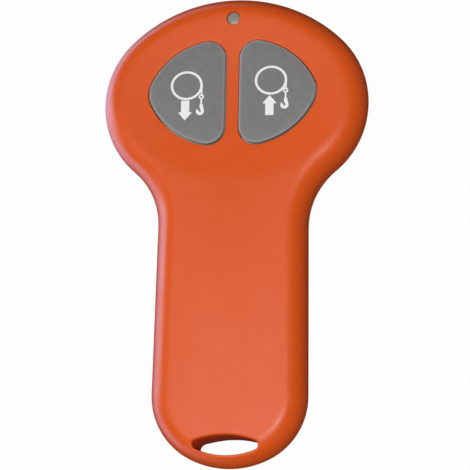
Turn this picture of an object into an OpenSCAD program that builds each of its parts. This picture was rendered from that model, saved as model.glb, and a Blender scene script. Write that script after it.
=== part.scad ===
// Wireless two-button hand remote, lying on its back.
// X runs across, Y from the heel to the head, Z from the back face to the keys.
// The origin is under the middle of the remote, on the back face.

/* [Body] */
// Length from the heel to the top of the head
body_l = 110; // [106:0.5:118]
// Thickness from the back face to the front face
body_t = 17.5; // [17:0.1:19]
// Width of the head where it is widest
head_w = 62.2; // [59:0.2:66]
// Rise of the top of the head above its shoulders
head_crown = 4.15; // [3.6:0.05:5.4]
// Radius of the shoulders of the head
shoulder_r = 21; // [18:0.1:23]
// Radius of the hollow between the head and the grip
neck_r = 17.5; // [14:0.5:22]
// Width of the grip at the heel
grip_w = 36; // [35:0.2:38]
// Sideways lean of the grip for each millimetre of its length
grip_lean_share = 0.01; // [0:0.002:0.016]
// Width of the heel between the middles of its two corners
heel_middle_w = 3.66; // [3:0.05:6]
// Bulge of the heel between its corners
heel_crown = 0.45; // [0.3:0.01:0.6]
// Thickness of the moulded walls
wall = 2; // [1.8:0.1:2.1]
// How far the rounding of the front edge reaches in
front_round_in = 5; // [4:0.1:5.4]
// How far the rounding of the front edge reaches down
front_round_down = 6.2; // [5.4:0.1:6.8]
// How far the rounding of the back edge reaches in
back_round_in = 9; // [8:0.1:9.4]
// Bevel on both rims where the shells meet
seam_bevel = 0.2; // [0.1:0.05:0.4]
// Height of the lip that centres the shells on each other
lip_h = 1.2; // [0.8:0.1:1.6]
// Clearance of that lip, and of the board's end
lip_fit = 0.1; // [0.05:0.05:0.2]

/* [Face] */
// Width of the shallow dish round the keys
dish_w = 52; // [48:0.5:54]
// Height of the dish along the remote
dish_h = 40; // [36:0.5:41]
// Depth of the dish at its middle
dish_depth = 1.1; // [0.6:0.1:1.3]
// Middle of the dish below the top of the head
dish_from_top = 25; // [24.5:0.5:28]

/* [Keys] */
// Width of a key
key_w = 18; // [16.5:0.1:18.6]
// Height of a key along the remote
key_h = 24.8; // [23:0.1:26]
// Bar of the shell left between the two keys
key_bar = 3.2; // [2.8:0.1:4]
// Middle of the keys below the top of the head
keys_from_top = 23.9; // [23.4:0.1:25]
// Radius of the two inner corners of a key
key_corner_r = 4.2; // [3.8:0.1:4.8]
// Radius of the outer end of a key
key_end_r = 6; // [5.2:0.1:6.8]
// Radius of the two bulging slopes of a key
key_slope_r = 18; // [16:0.5:24]
// Rounding of the key's upper edge
key_edge_r = 0.7; // [0.4:0.1:0.9]
// Height of the key above the floor of the dish
key_proud = 0.9; // [0.6:0.1:1.4]
// Rise of the key's crown
key_crown = 0.2; // [0.1:0.05:0.4]
// Gap between a key and its opening
key_gap = 0.2; // [0.15:0.05:0.3]
// Width of the flange that keeps a key in its opening
flange_out = 1; // [0.8:0.05:1.1]
// Thickness of that flange
flange_t = 1; // [0.8:0.05:1.1]
// Air between the flange and the ceiling of the shell
flange_gap = 0.2; // [0.1:0.05:0.3]
// Travel of a key
key_travel = 0.5; // [0.3:0.05:0.6]

/* [Lanyard slot] */
// Height of the slot at its middle
slot_h = 4.4; // [4.2:0.1:4.8]
// Rim of the heel left below the slot
slot_rim = 2.7; // [2.4:0.1:3.2]
// Radius of the slot's upper edge
slot_top_r = 20; // [18:0.5:22]
// Radius of the slot's two tips
slot_tip_r = 1; // [0.8:0.1:1.3]
// Wall round the slot inside the shells
slot_wall = 1.4; // [1.2:0.1:1.6]

/* [Battery] */
// Diameter of the battery
battery_d = 10.3; // [10:0.1:10.5]
// Length of the battery with its button
battery_l = 28.5; // [27.5:0.1:29]
// Diameter of the battery's button
button_d = 5; // [4:0.1:6]
// Height of the battery's button
button_h = 0.9; // [0.6:0.1:1.2]
// Air between the door and the battery
battery_air = 0.4; // [0.3:0.05:0.6]

/* [Battery door] */
// Width of the opening in the back
hatch_w = 14.6; // [14.2:0.1:15]
// Distance of the opening from the end of the heel
hatch_from_heel = 13; // [12.6:0.1:13.6]
// Corner radius of the opening
hatch_corner_r = 1.6; // [1:0.1:2.5]
// Gap round the door
door_gap = 0.2; // [0.15:0.05:0.3]
// Thickness of the door
door_t = 1.8; // [1.6:0.1:1.8]
// Width of each hinge tab
tab_w = 2.2; // [1.8:0.1:2.4]
// Reach of the hinge tabs past the edge of the opening
tab_reach = 2; // [1.6:0.1:2.2]
// Thickness of the hinge tabs
tab_t = 1; // [0.8:0.1:1.2]
// Clearance of the tabs over the floor of the shell
tab_air = 0.15; // [0.1:0.05:0.2]
// Thickness of the two saddles under the battery
saddle_t = 1.2; // [1:0.1:1.6]
// Height of the saddles above the door
saddle_h = 2.2; // [1.6:0.1:2.6]
// Clearance of the saddles round the battery
saddle_air = 0.25; // [0.2:0.05:0.4]
// Width of the latch tongue
latch_w = 5; // [4:0.2:6]
// Thickness of the latch tongue
latch_t = 0.6; // [0.5:0.05:0.7]
// Height of the latch tongue above the door
latch_h = 3; // [2.6:0.1:3.6]
// Reach of the latch over the edge of the opening
latch_hook = 0.7; // [0.5:0.05:0.9]
// Number of finger grooves on the door
grooves = 4; // [3:1:5]
// Spacing of the finger grooves
groove_pitch = 1.8; // [1.6:0.1:2.2]
// Radius of the finger grooves
groove_r = 0.6; // [0.4:0.05:0.7]
// Length of the finger grooves
groove_l = 8; // [6:0.5:9]

/* [Battery compartment] */
// Room for the latch between the opening's end and the cross wall
latch_room = 2.3; // [2.2:0.1:2.6]
// Thickness of the ribs and the cross wall
rib_t = 1.2; // [1:0.1:1.4]
// Height of the side ribs above the floor
rib_h = 5.4; // [5:0.1:5.6]
// Gap between the side ribs and the opening
rib_gap = 0.1; // [0.05:0.05:0.2]
// Thickness of the contact metal
contact_t = 0.4; // [0.3:0.05:0.5]
// Width of the contact plates
contact_w = 7; // [6:0.2:7.2]
// Height of the contact plates
contact_h = 8.4; // [7.6:0.1:9]
// Length of the contact spring
spring_l = 3.2; // [3:0.1:3.6]
// Wire radius of the contact spring
spring_wire_r = 0.25; // [0.2:0.01:0.28]
// Radius of the spring at the plate
spring_r = 2.9; // [2.6:0.1:3.2]
// Radius of the spring at the battery
spring_end_r = 1.7; // [1.5:0.1:2]
// Turns of the spring
spring_turns = 3.5; // [2.5:0.5:4]
// Height of the strip that leads the spring's current to the board
strip_h = 2.6; // [2:0.1:3]
// Length of the soldered feet of the contacts
contact_foot = 2.4; // [1.8:0.1:3]

/* [Circuit board] */
// Height of the board above the floor of the shell
board_stand = 4; // [3.8:0.1:4.2]
// Thickness of the board
board_t = 1.6; // [1.4:0.1:1.7]
// Distance of the board's edge from the side of the remote
board_inset = 3.9; // [3.8:0.05:4.2]
// Radius of the posts that hold the board
post_r = 1.5; // [1.2:0.1:1.8]
// Gap between the lower posts and the contacts' feet
post_gap = 0.3; // [0.2:0.05:0.4]
// Sideways place of the upper posts
high_post_x = 13; // [12.6:0.1:13.6]
// Upper posts above the middle of the keys
high_post_up = 15.2; // [15:0.1:15.6]
// Width of the printed antenna
antenna_w = 1.2; // [1:0.1:1.4]
// Distance of the antenna from the edge of the board
antenna_in = 0.8; // [0.6:0.1:1]
// Thickness of the printed antenna
antenna_t = 0.15; // [0.1:0.01:0.2]

/* [Switches] */
// Side of a switch
switch_w = 6; // [5.6:0.1:6.4]
// Height of a switch body
switch_h = 3.1; // [2.9:0.1:3.4]
// Thickness of the metal cover
cover_t = 0.3; // [0.2:0.05:0.4]
// Radius of the well in the switch body
well_r = 2.6; // [2.5:0.05:2.7]
// Height of the snap dome when it is pressed
dome_flat = 0.6; // [0.4:0.05:0.7]
// Radius of the plunger
plunger_r = 1.75; // [1.6:0.05:1.85]
// Radius of the plunger's collar
collar_r = 2.3; // [2.2:0.05:2.4]
// Thickness of the plunger's collar
collar_t = 0.9; // [0.8:0.05:1]
// Clearance round the plunger in its cover
plunger_air = 0.1; // [0.08:0.01:0.15]
// Height of the plunger above the cover
plunger_out = 1.6; // [1.4:0.1:1.8]
// Thickness of the snap dome
dome_t = 0.15; // [0.1:0.01:0.18]
// Width of a switch leg
leg_w = 0.8; // [0.6:0.1:1]
// Reach of a switch leg past the body
leg_reach = 1.2; // [1:0.1:1.4]
// Spacing of the two legs on one side
leg_pitch = 3.6; // [3:0.1:4]
// Thickness of the legs
leg_t = 0.25; // [0.2:0.01:0.3]

/* [Indicator] */
// Diameter of the indicator's lens
led_d = 3; // [2.8:0.1:3.2]
// Height of the indicator
led_h = 5.3; // [4.8:0.1:5.4]
// Width of the indicator's flange all round
led_flange = 0.4; // [0.3:0.05:0.5]
// Thickness of that flange
led_flange_t = 1; // [0.8:0.1:1.2]
// Indicator below the top of the head
led_from_top = 6; // [6:0.1:6.6]
// Depth of the lens below the face
led_recess = 0.3; // [0.2:0.05:0.5]
// Clearance round the lens
led_gap = 0.15; // [0.1:0.05:0.25]
// Radius of the two lead wires
lead_r = 0.25; // [0.2:0.01:0.28]
// Spacing of the lead wires
lead_pitch = 1.8; // [1.6:0.1:2]

/* [Screws] */
// Radius of a screw's shank
screw_r = 1; // [0.9:0.05:1.1]
// Radius of a screw's head
screw_head_r = 1.9; // [1.7:0.05:2]
// Height of a screw's head
screw_head_h = 1.4; // [1.2:0.1:1.6]
// Length of a screw below its head
screw_l = 8; // [7.4:0.1:8.4]
// Depth of the seat of the heads in the back
screw_seat = 4.5; // [4.2:0.1:4.8]
// Radius of the screw posts
screw_post_r = 2.9; // [2.8:0.05:3]
// Clearance round a screw's head
head_air = 0.3; // [0.2:0.05:0.4]
// Clearance round the shank in the back
shank_air = 0.25; // [0.2:0.05:0.3]
// Clearance round the shank in the front
pilot_air = 0.03; // [0.02:0.01:0.05]
// Head screws in from the widest side
head_screw_in = 7.4; // [7.2:0.1:7.8]
// Head screws above the middle of the keys
head_screw_up = 5.5; // [5:0.1:6]
// Grip screws in from the side of the heel
grip_screw_in = 6.6; // [6.5:0.1:6.8]
// Grip screws above the end of the battery opening
grip_screw_up = 4; // [3.5:0.1:5]

/* [Components] */
// Gap between the parts on the board
part_gap = 0.5; // [0.4:0.05:0.6]
// Length of the encoder chip
chip_l = 10; // [9:0.5:11]
// Width of the encoder chip
chip_w = 4; // [3.6:0.1:4.2]
// Height of the encoder chip
chip_h = 1.6; // [1.4:0.1:1.8]
// Leg spacing of the encoder chip
chip_pitch = 1.27; // [1:0.01:1.27]
// Legs on each side of the encoder chip
chip_legs = 7; // [5:1:7]
// Radius of the round resonator can
can_r = 4.2; // [3.8:0.1:4.3]
// Height of the resonator can
can_h = 3.2; // [2.8:0.1:3.6]
// Rim of the resonator can
can_rim = 0.4; // [0.3:0.05:0.5]
// Length of the crystal
crystal_l = 10; // [9:0.1:10.5]
// Width of the crystal
crystal_w = 4; // [3.6:0.1:4.2]
// Height of the crystal
crystal_h = 3.4; // [3:0.1:3.8]
// Radius of the coil's turns
coil_r = 1.7; // [1.5:0.1:1.8]
// Wire radius of the coil
coil_wire_r = 0.25; // [0.2:0.01:0.3]
// Turns of the coil
coil_turns = 4.5; // [3.5:1:5.5]
// Spacing of the coil's turns
coil_pitch = 0.9; // [0.8:0.05:1]
// Radius of the reservoir capacitor
cap_r = 2.5; // [2.2:0.1:2.6]
// Height of the reservoir capacitor
cap_h = 4.6; // [4:0.1:4.8]
// Length of a small chip part
chip_part_l = 2; // [1.6:0.1:2.2]
// Width of a small chip part
chip_part_w = 1.2; // [1:0.05:1.3]
// Height of a small chip part
chip_part_h = 0.6; // [0.4:0.05:0.8]

/* [Hidden] */

// Overrun of every cut
over = 1;
// Smoothness of the round pieces
$fn = 48;

shell_orange = "#D9622F";
key_grey = "#7E8082";
metal = "#C9CBCD";
brass = "#C8A45A";
copper = "#B87333";
board_green = "#2E6B3E";
black = "#26272A";
cream = "#D8CFC0";

// Rise of the snap dome, and the well that holds it under the plunger's collar
dome_rise = dome_flat + key_travel;
well_d = dome_rise + collar_t + plunger_air;

// Levels through the thickness
seam_z = body_t - front_round_down;
dish_z = body_t - dish_depth;
ceiling_z = dish_z - wall;
board_z = wall + board_stand;
board_top = board_z + board_t;
switch_top = board_top + switch_h;
cover_top = switch_top + cover_t;
plunger_top = cover_top + plunger_out;
flange_top = ceiling_z - flange_gap;
flange_z = flange_top - flange_t;
key_top = dish_z + key_proud;
battery_z = door_t + battery_air + battery_d / 2;
led_top = body_t - led_recess;
led_z = led_top - led_h;

// Inner side of the strip beside the battery
strip_x = battery_d / 2 + contact_t + saddle_air;

// Places along the remote
head_y = body_l / 2;
heel_y = -body_l / 2;
keys_y = head_y - keys_from_top;
led_y = head_y - led_from_top;
dish_y = head_y - dish_from_top;
hatch_y = heel_y + hatch_from_heel;
cross_y = hatch_y + latch_room;
spring_y = cross_y + rib_t;
battery_y = spring_y + contact_t + spring_l;
plate_y = battery_y + battery_l;
hinge_y = plate_y + contact_t;
hatch_l = hinge_y - hatch_y;
board_tail_y = hinge_y + lip_fit;
loop_y = board_tail_y + contact_foot + antenna_w;

// Centres and angles of the tangent arcs of the outline, on the right-hand side
function crown_r(half_w, rise, end_r) = half_w * half_w / (2 * rise) + rise / 2 + end_r;
shoulder_c = [head_w / 2 - shoulder_r, head_y - head_crown - shoulder_r];
head_top_r = crown_r(shoulder_c.x, head_crown, shoulder_r);
top_c = [0, head_y - head_top_r];
shoulder_a = atan2(shoulder_c.y - top_c.y, shoulder_c.x);
lean_a = atan(grip_lean_share);
side_n = [cos(lean_a), sin(lean_a)];
side_d = side_n * [grip_w / 2, heel_y];
neck_a = lean_a - acos((side_d + neck_r - side_n * shoulder_c) / (shoulder_r + neck_r));
neck_c = shoulder_c + (shoulder_r + neck_r) * [cos(neck_a), sin(neck_a)];
heel_corner_r = (side_d - side_n * [heel_middle_w / 2, heel_y + heel_crown]) / (1 + side_n.y);
corner_c = [heel_middle_w / 2, heel_y + heel_crown + heel_corner_r];
heel_r = crown_r(corner_c.x, heel_crown, heel_corner_r);
heel_c = [0, heel_y + heel_r];
corner_a = atan2(corner_c.y - heel_c.y, corner_c.x);

// Points of an arc, about one for each step of angle
function arc(centre, r, from, to, step) =
    let (n = ceil(abs(to - from) / step))
    [for (i = [0 : n]) let (a = from + (to - from) * i / n) centre + r * [cos(a), sin(a)]];
function rest_of(list) = [for (i = [1 : len(list) - 1]) list[i]];
// A right half, given from top to bottom, closed by its mirror image
function mirrored(half) =
    concat(half, [for (i = [len(half) - 2 : -1 : 1]) [-half[i].x, half[i].y]]);

// The outline of the remote, moved inwards by inset
function outline(inset, step = 6) = mirrored(concat(
    arc(top_c, head_top_r - inset, 90, shoulder_a, step),
    rest_of(arc(shoulder_c, shoulder_r - inset, shoulder_a, neck_a, step)),
    rest_of(arc(neck_c, -neck_r - inset, neck_a, lean_a, step)),
    arc(corner_c, heel_corner_r - inset, lean_a, corner_a, step),
    rest_of(arc(heel_c, heel_r - inset, corner_a, -90, step))));

// The outline of the right key, moved outwards by grow
key_in_x = key_bar / 2;
key_corner_c = [key_in_x + key_corner_r, key_h / 2 - key_corner_r];
key_end_c = [key_in_x + key_w - key_end_r, 0];
function meet(a, ra, b, rb) =
    let (d = norm(b - a), u = (b - a) / d, m = (ra * ra - rb * rb + d * d) / (2 * d))
    a + m * u + sqrt(ra * ra - m * m) * [u.y, -u.x];
key_slope_c = meet(key_corner_c, key_slope_r - key_corner_r, key_end_c, key_slope_r - key_end_r);
key_corner_a = atan2(key_corner_c.y - key_slope_c.y, key_corner_c.x - key_slope_c.x);
key_end_a = atan2(key_end_c.y - key_slope_c.y, key_end_c.x - key_slope_c.x);
function key_upper(grow, step) = concat(
    arc(key_corner_c, key_corner_r + grow, 180, key_corner_a, step),
    rest_of(arc(key_slope_c, key_slope_r + grow, key_corner_a, key_end_a, step / 3)),
    rest_of(arc(key_end_c, key_end_r + grow, key_end_a, 0, step)));
function key_outline(grow, step = 12) =
    let (half = key_upper(grow, step))
    [for (p = concat(half, [for (i = [len(half) - 2 : -1 : 0]) [half[i].x, -half[i].y]]))
        p + [0, keys_y]];

// The outline of the lanyard slot, moved outwards by grow
slot_low_r = heel_r - slot_rim;
slot_top_y = heel_y + slot_rim + slot_h;
slot_top_c = [0, slot_top_y - slot_top_r];
slot_tip_c = meet(slot_top_c, slot_top_r - slot_tip_r, heel_c, slot_low_r - slot_tip_r);
slot_up_a = atan2(slot_tip_c.y - slot_top_c.y, slot_tip_c.x);
slot_low_a = atan2(slot_tip_c.y - heel_c.y, slot_tip_c.x);
function slot_outline(grow, step = 4) = mirrored(concat(
    arc(slot_top_c, slot_top_r + grow, 90, slot_up_a, step),
    rest_of(arc(slot_tip_c, slot_tip_r + grow, slot_up_a, slot_low_a, step * 6)),
    rest_of(arc(heel_c, slot_low_r + grow, slot_low_a, -90, step))));

// A solid skinned over closed rings, given as lists of points from the lowest ring up
module skin(rings) {
    n = len(rings[0]);
    last = len(rings) - 1;
    faces = concat(
        [[for (j = [n - 1 : -1 : 0]) j]],
        [for (i = [0 : last - 1], j = [0 : n - 1]) let (k = (j + 1) % n)
            [i * n + k, (i + 1) * n + k, (i + 1) * n + j, i * n + j]],
        [[for (j = [0 : n - 1]) last * n + j]]);
    polyhedron([for (ring = rings) each ring], faces);
}
function raised(points, z) = [for (p = points) [p.x, p.y, z]];

module prism(points, from, to) {
    translate([0, 0, from]) linear_extrude(to - from) polygon(points);
}

module both_sides() {
    children();
    mirror([1, 0, 0]) children();
}

// Rounded rectangle centred on X, starting at y = 0
module round_rect(w, l, r) {
    translate([-w / 2 + r, 0]) square([w - 2 * r, l]);
    translate([-w / 2, r]) square([w, l - 2 * r]);
    for (x = [-w / 2 + r, w / 2 - r], y = [r, l - r]) translate([x, y]) circle(r);
}

// Tube wound along X with 6 sides; radius and place run evenly along the winding
module winding(from_r, to_r, wire_r, turns, length) {
    sides = 6;
    steps = ceil(turns * 12);
    rings = [for (i = [0 : steps]) let (s = i / steps, a = 360 * turns * s,
            r = from_r + (to_r - from_r) * s, out = [0, cos(a), sin(a)])
        [for (j = [0 : sides - 1]) let (b = 360 * j / sides)
            [length * s, 0, 0] + (r + wire_r * cos(b)) * out + [wire_r * sin(b), 0, 0]]];
    skin(rings);
}

// Shells

module front_skin() {
    skin(concat(
        [raised(outline(seam_bevel), seam_z), raised(outline(0), seam_z + seam_bevel)],
        [for (t = [15 : 15 : 90])
            raised(outline(front_round_in * (1 - cos(t))), seam_z + front_round_down * sin(t))]));
}

module front_cavity() {
    room_in = front_round_in - wall;
    room_up = front_round_down - wall;
    skin(concat(
        [raised(outline(wall, 10), seam_z - over)],
        [for (t = [0 : 18 : 90])
            raised(outline(front_round_in - room_in * cos(t), 10), seam_z + room_up * sin(t))]));
}

module back_skin() {
    skin(concat(
        [for (t = [0 : 15 : 75])
            raised(outline(back_round_in * (1 - sin(t))), seam_z * (1 - cos(t)))],
        [raised(outline(0), seam_z - seam_bevel), raised(outline(seam_bevel), seam_z)]));
}

module back_cavity() {
    room_in = back_round_in - wall;
    room_down = seam_z - wall;
    skin(concat(
        [for (t = [0 : 18 : 90])
            raised(outline(back_round_in - room_in * sin(t), 10), seam_z - room_down * cos(t))],
        [raised(outline(wall, 10), seam_z + over)]));
}

dish_shares = [0.1, 0.3, 0.5, 0.7, 0.85, 1];
function dish_ring(share) = [for (a = [350 : -10 : 0])
    [dish_w / 2 * share * cos(a), dish_y + dish_h / 2 * share * sin(a)]];
module dish() {
    skin(concat(
        [for (share = dish_shares)
            raised(dish_ring(share), body_t - dish_depth * (1 - share * share))],
        [raised(dish_ring(1), body_t + over)]));
}

module at_screws() {
    head_x = head_w / 2 - head_screw_in;
    grip_x = grip_w / 2 - grip_screw_in;
    for (p = [[head_x, keys_y + head_screw_up], [grip_x, hatch_y + grip_screw_up]], side = [-1, 1])
        translate([side * p.x, p.y]) children();
}

module at_posts() {
    low_x = strip_x + contact_foot + post_gap + post_r;
    for (p = [[low_x, board_tail_y + (contact_foot + antenna_w) / 2], [high_post_x, keys_y + high_post_up]],
            side = [-1, 1])
        translate([side * p.x, p.y]) children();
}

pilot_top = screw_seat + screw_l + screw_r / 2;

module slot_cut() {
    prism(slot_outline(0), -over, body_t + over);
}

module front_shell() {
    color(shell_orange) difference() {
        union() {
            difference() {
                front_skin();
                difference() {
                    front_cavity();
                    prism(dish_ring(1), ceiling_z, body_t);
                    prism(slot_outline(slot_wall), seam_z - 2 * over, body_t);
                    at_screws() translate([0, 0, seam_z - 2 * over]) cylinder(body_t, r = screw_post_r);
                    at_posts() translate([0, 0, seam_z - 2 * over]) cylinder(body_t, r = post_r);
                }
            }
            front_lip();
            at_screws() translate([0, 0, board_top]) cylinder(seam_z + over - board_top, r = screw_post_r);
            at_posts() translate([0, 0, board_top]) cylinder(seam_z + over - board_top, r = post_r);
        }
        dish();
        both_sides() prism(key_outline(key_gap), ceiling_z - over, body_t + over);
        translate([0, led_y, board_top]) cylinder(body_t, d = led_d + 2 * led_gap);
        slot_cut();
        at_screws() translate([0, 0, board_top - over])
            cylinder(pilot_top - board_top + over, r = screw_r + pilot_air);
    }
}

// Lip under the rim of the front shell, on the inner half of the wall
module front_lip() {
    difference() {
        prism(outline(wall / 2 + lip_fit, 10), seam_z - lip_h, seam_z + lip_h / 2);
        prism(outline(wall, 10), seam_z - lip_h - over, seam_z + lip_h);
    }
}

module back_shell() {
    color(shell_orange) difference() {
        back_skin();
        difference() {
            back_cavity();
            prism(slot_outline(slot_wall), 0, seam_z);
            at_screws() cylinder(board_top, r = screw_post_r);
            at_posts() cylinder(board_z, r = post_r);
            compartment();
        }
        lip_groove();
        slot_cut();
        translate([0, hatch_y, -over]) linear_extrude(wall + over)
            round_rect(hatch_w, hatch_l, hatch_corner_r);
        at_screws() translate([0, 0, -over]) cylinder(screw_seat + over, r = screw_head_r + head_air);
        at_screws() cylinder(seam_z, r = screw_r + shank_air);
    }
}

module lip_groove() {
    difference() {
        prism(outline(wall / 2, 10), seam_z - lip_h - lip_fit, seam_z + over);
        prism(outline(wall + 2 * lip_fit, 10), seam_z - lip_h - over, seam_z + 2 * over);
    }
}

// Ribs of the battery compartment, standing on the floor beside the opening
module compartment() {
    rib_x = hatch_w / 2 + rib_gap;
    both_sides() translate([rib_x, hatch_y, 0]) cube([rib_t, hatch_l, wall + rib_h]);
    translate([-rib_x - rib_t / 2, cross_y, wall + tab_air])
        cube([2 * rib_x + rib_t, rib_t, contact_h - tab_air]);
    translate([-contact_w / 2, hinge_y, 0]) cube([contact_w, rib_t, board_z]);
}

saddle_shares = [0.25, 0.75];
module battery_door() {
    door_w = hatch_w - 2 * door_gap;
    tab_x = contact_w / 2 + tab_w / 2 + contact_t;
    tab_z = wall + tab_air;
    color(shell_orange) {
        difference() {
            union() {
                translate([0, hatch_y + door_gap, 0]) linear_extrude(door_t)
                    round_rect(door_w, hatch_l - 2 * door_gap, hatch_corner_r - door_gap);
                for (share = saddle_shares)
                    translate([-battery_d / 2, battery_y + battery_l * share - saddle_t / 2, door_t / 2])
                        cube([battery_d, saddle_t, saddle_h + door_t / 2]);
                both_sides() translate([tab_x - tab_w / 2, hinge_y - door_gap - tab_t, door_t / 2]) {
                    cube([tab_w, tab_t, tab_z + tab_t - door_t / 2]);
                    translate([0, 0, tab_z - door_t / 2]) cube([tab_w, tab_t + door_gap + tab_reach, tab_t]);
                }
            }
            translate([0, battery_y - over, battery_z]) rotate([-90, 0, 0])
                cylinder(battery_l + 2 * over, r = battery_d / 2 + saddle_air);
            for (i = [0 : grooves - 1])
                translate([-groove_l / 2, hatch_y + 2 * groove_pitch + i * groove_pitch, 0])
                    rotate([0, 90, 0]) cylinder(groove_l, r = groove_r);
        }
    }
}

// Springy tongue of the door: up from the door, over, and down to a hook past the edge
module door_latch() {
    inner_y = cross_y - latch_t - 2 * tab_air;
    outer_y = hatch_y + tab_air;
    hook_z = wall + tab_air;
    top_z = door_t + latch_h;
    color(shell_orange) translate([-latch_w / 2, 0, 0]) rotate([90, 0, 90]) linear_extrude(latch_w)
        polygon([
            [inner_y + latch_t, door_t], [inner_y + latch_t, top_z], [outer_y, top_z],
            [outer_y, hook_z + latch_t], [hatch_y - latch_hook, hook_z + latch_t / 2],
            [hatch_y - latch_hook, hook_z], [outer_y + latch_t, hook_z],
            [outer_y + latch_t, top_z - latch_t], [inner_y, top_z - latch_t], [inner_y, door_t]]);
}

// Keys

switch_in_key_share = 0.5;
crown_shares = [0.4, 0.8];
switch_x = key_in_x + key_w * switch_in_key_share;

module key() {
    rounding = [for (t = [0 : 30 : 90])
        raised(key_outline(key_edge_r * (cos(t) - 1)), key_top - key_edge_r + key_edge_r * sin(t))];
    crown = [for (share = crown_shares)
        raised(key_outline(-key_edge_r - (key_corner_r - key_edge_r) * share),
            key_top + key_crown * sin(90 * share))];
    skin(concat(
        [raised(key_outline(flange_out), flange_z), raised(key_outline(flange_out), flange_top),
            raised(key_outline(0), flange_top)],
        rounding, crown));
    translate([switch_x, keys_y, plunger_top]) cylinder(flange_z + flange_t / 2 - plunger_top, r = plunger_r);
}
module right_button() { color(key_grey) key(); }
module left_button() { color(key_grey) mirror([1, 0, 0]) key(); }

// Switches

module at_switches() {
    for (side = [-1, 1]) translate([side * switch_x, keys_y, board_top]) children();
}

module plunger() {
    color(black) translate([switch_x, keys_y, 0]) {
        translate([0, 0, switch_top - plunger_air - collar_t])
            cylinder(plunger_top - switch_top + plunger_air + collar_t, r = plunger_r);
        translate([0, 0, switch_top - plunger_air - collar_t]) cylinder(collar_t, r = collar_r);
    }
}
module right_plunger() { plunger(); }
module left_plunger() { mirror([1, 0, 0]) plunger(); }

// Snap dome: a thin cap of a sphere, standing on the floor of the well under the plunger
module dome() {
    ball_r = crown_r(collar_r, dome_rise, 0);
    out_a = acos((ball_r - dome_rise) / ball_r);
    in_a = acos((ball_r - dome_rise) / (ball_r - dome_t));
    color(metal) translate([switch_x, keys_y, switch_top - well_d + dome_rise - ball_r]) rotate_extrude()
        polygon(concat(
            [for (i = [0 : 5]) ball_r * [sin(out_a * i / 5), cos(out_a * i / 5)]],
            [for (i = [5 : -1 : 0]) (ball_r - dome_t) * [sin(in_a * i / 5), cos(in_a * i / 5)]]));
}
module right_dome() { dome(); }
module left_dome() { mirror([1, 0, 0]) dome(); }

module switch_bodies() {
    color(black) at_switches() difference() {
        translate([-switch_w / 2, -switch_w / 2, 0]) cube([switch_w, switch_w, switch_h]);
        translate([0, 0, switch_h - well_d]) cylinder(well_d + over, r = well_r);
    }
}

module switch_covers() {
    color(metal) at_switches() difference() {
        translate([-switch_w / 2, -switch_w / 2, switch_h]) cube([switch_w, switch_w, cover_t]);
        translate([0, 0, switch_h - over]) cylinder(cover_t + 2 * over, r = plunger_r + plunger_air);
    }
}

// Bent leg that starts at x = 0 on the side of a body and stands on the board
module leg(w, reach, rise) {
    translate([0, w / 2, 0]) rotate([90, 0, 0]) linear_extrude(w)
        polygon([[0, rise], [0, rise - leg_t], [reach / 3, rise - leg_t], [reach / 3, 0], [reach, 0],
            [reach, leg_t], [reach / 3 + leg_t, leg_t], [reach / 3 + leg_t, rise]]);
}

module switch_legs() {
    color(metal) at_switches() for (turn = [0, 180], y = [-leg_pitch / 2, leg_pitch / 2])
        rotate(turn) translate([switch_w / 2, y, 0]) leg(leg_w, leg_reach, switch_h / 2);
}

// Circuit board and what is soldered to it

module circuit_board() {
    color(board_green) difference() {
        intersection() {
            prism(outline(board_inset, 10), board_z, board_top);
            translate([-head_w, board_tail_y, 0]) cube([2 * head_w, body_l, body_t]);
        }
        at_screws() cylinder(body_t, r = screw_post_r + shank_air);
    }
}

// Printed loop along both edges of the board, joined across its tail
module antenna_trace() {
    loop_in = board_inset + antenna_in;
    color(copper) intersection() {
        prism(outline(loop_in, 10), board_top, board_top + antenna_t);
        union() {
            difference() {
                prism(outline(0, 10), 0, body_t);
                prism(outline(loop_in + antenna_w, 10), -over, body_t + over);
            }
            translate([-head_w, loop_y, 0]) cube([2 * head_w, antenna_w, body_t]);
        }
        translate([-head_w, loop_y, 0]) cube([2 * head_w, keys_y - loop_y, body_t]);
    }
}

// The large parts stand in two rows above the antenna's cross bar, the small ones round the switches
high_row_y = keys_y + switch_w / 2 + 4 * chip_part_l;
parts_y = loop_y + antenna_w + part_gap + can_r + can_rim;
chip_y = parts_y + can_r + can_rim + part_gap + leg_reach + chip_w / 2;
module encoder_chip() {
    color(black) translate([-chip_l / 2, chip_y - chip_w / 2, board_top + leg_t])
        cube([chip_l, chip_w, chip_h - leg_t]);
}

module chip_legs_row() {
    color(metal) for (turn = [90, 270], i = [0 : chip_legs - 1])
        translate([(i - (chip_legs - 1) / 2) * chip_pitch, chip_y, board_top]) rotate(turn)
            translate([chip_w / 2, 0, 0]) leg(chip_pitch / 3, leg_reach, chip_h / 2 + leg_t);
}

module resonator_can() {
    color(metal) translate([-can_r - 2 * can_rim, parts_y, board_top]) {
        cylinder(can_rim, r = can_r + can_rim);
        cylinder(can_h - can_rim, r = can_r);
        translate([0, 0, can_h - can_rim]) cylinder(can_rim, r1 = can_r, r2 = can_r - can_rim);
    }
}

module crystal() {
    end_r = crystal_w / 2;
    color(metal) translate([can_rim + end_r, parts_y + can_r - end_r, board_top])
        linear_extrude(crystal_h) {
            circle(end_r);
            translate([crystal_l - crystal_w, 0]) circle(end_r);
            translate([0, -end_r]) square([crystal_l - crystal_w, crystal_w]);
        }
}

module coil() {
    coil_l = coil_turns * coil_pitch;
    coil_out_r = coil_r + coil_wire_r;
    color(copper) translate([part_gap + coil_wire_r, parts_y - coil_out_r, board_top + coil_out_r])
        winding(coil_r, coil_r, coil_wire_r, coil_turns, coil_l);
}

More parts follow.
